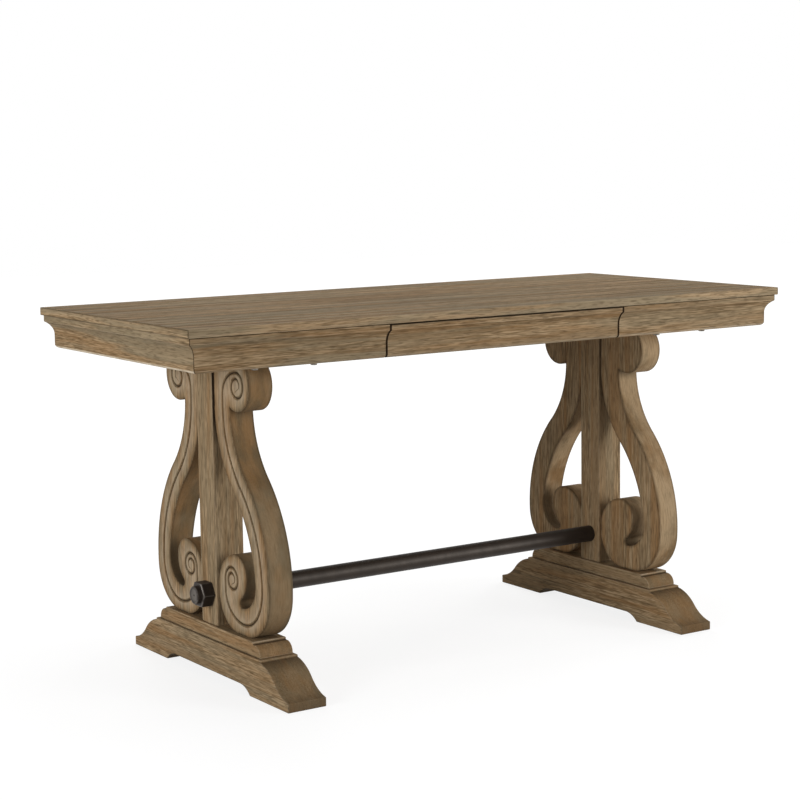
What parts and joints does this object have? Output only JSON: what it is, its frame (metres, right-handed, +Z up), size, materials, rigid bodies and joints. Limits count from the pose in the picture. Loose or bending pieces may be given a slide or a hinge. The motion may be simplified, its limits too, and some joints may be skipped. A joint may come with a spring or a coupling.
{
  "type": "office desk",
  "caption": "Trestle office desk: scrolled lyre pedestals on stepped feet, a round metal stretcher, and a crown-moulded apron that hides a frieze drawer on telescopic slides.",
  "frame": {"origin": "on the floor, under the middle of the top", "axes": "+X along the width to the right of a person at the drawer, +Y from the drawer side to the back, +Z up"},
  "size_m": [1.524, 0.68, 0.775],
  "materials": {
    "weathered_wood": "grey-brown wire-brushed oak, low sheen, edges rubbed pale",
    "inner_wood": "plain sanded secondary timber",
    "dark_iron": "satin black-bronze paint",
    "zinc_steel": "bright zinc plate"
  },
  "bodies": {
    "desk": {"back_moulding": "weathered_wood", "board_screws": "zinc_steel", "bolt_inserts": "zinc_steel", "corner_blocks": "inner_wood", "end_moulding_left": "weathered_wood", "end_moulding_right": "weathered_wood", "foot_lag_screws": "zinc_steel", "front_moulding_left": "weathered_wood", "front_moulding_right": "weathered_wood", "left_back_bearer": "inner_wood", "left_back_scroll": "weathered_wood", "left_foot": "weathered_wood", "left_front_bearer": "inner_wood", "left_front_scroll": "weathered_wood", "left_mounting_board": "inner_wood", "left_plinth": "weathered_wood", "left_post": "weathered_wood", "left_runner_rail": "inner_wood", "left_slide_fixed": "zinc_steel", "mount_bolts": "zinc_steel", "mount_washers": "zinc_steel", "plinth_dowels": "inner_wood", "rail_screws": "zinc_steel", "rail_slide_screws": "zinc_steel", "right_back_bearer": "inner_wood", "right_back_scroll": "weathered_wood", "right_foot": "weathered_wood", "right_front_bearer": "inner_wood", "right_front_scroll": "weathered_wood", "right_mounting_board": "inner_wood", "right_plinth": "weathered_wood", "right_post": "weathered_wood", "right_runner_rail": "inner_wood", "right_slide_fixed": "zinc_steel", "scroll_dowels": "inner_wood", "stretcher_tube": "dark_iron", "tie_nuts": "dark_iron", "tie_rod": "zinc_steel", "top_panel": "weathered_wood"},
    "drawer": {"drawer_front": "weathered_wood", "drawer_back": "inner_wood", "drawer_bottom": "inner_wood", "drawer_left_side": "inner_wood", "drawer_right_side": "inner_wood", "left_slide_drawer": "zinc_steel", "right_slide_drawer": "zinc_steel", "drawer_slide_screws": "zinc_steel", "drawer_dowels": "inner_wood", "drawer_back_screws": "zinc_steel"},
    "left_slide": {"left_slide_middle": "zinc_steel"},
    "right_slide": {"right_slide_middle": "zinc_steel"}
  },
  "joints": [
    {"name": "drawer_slide", "type": "slide", "parent": "desk", "child": "drawer", "axis": [0, -1, 0], "range_m": [0, 0.35]},
    {"name": "left_slide_run", "type": "slide", "parent": "desk", "child": "left_slide", "axis": [0, -1, 0], "range_m": [0, 0.175]},
    {"name": "right_slide_run", "type": "slide", "parent": "desk", "child": "right_slide", "axis": [0, -1, 0], "range_m": [0, 0.175]}
  ],
  "couplings": [
    {"joint": "left_slide_run", "follows": "drawer_slide", "ratio": 0.5},
    {"joint": "right_slide_run", "follows": "drawer_slide", "ratio": 0.5}
  ]
}
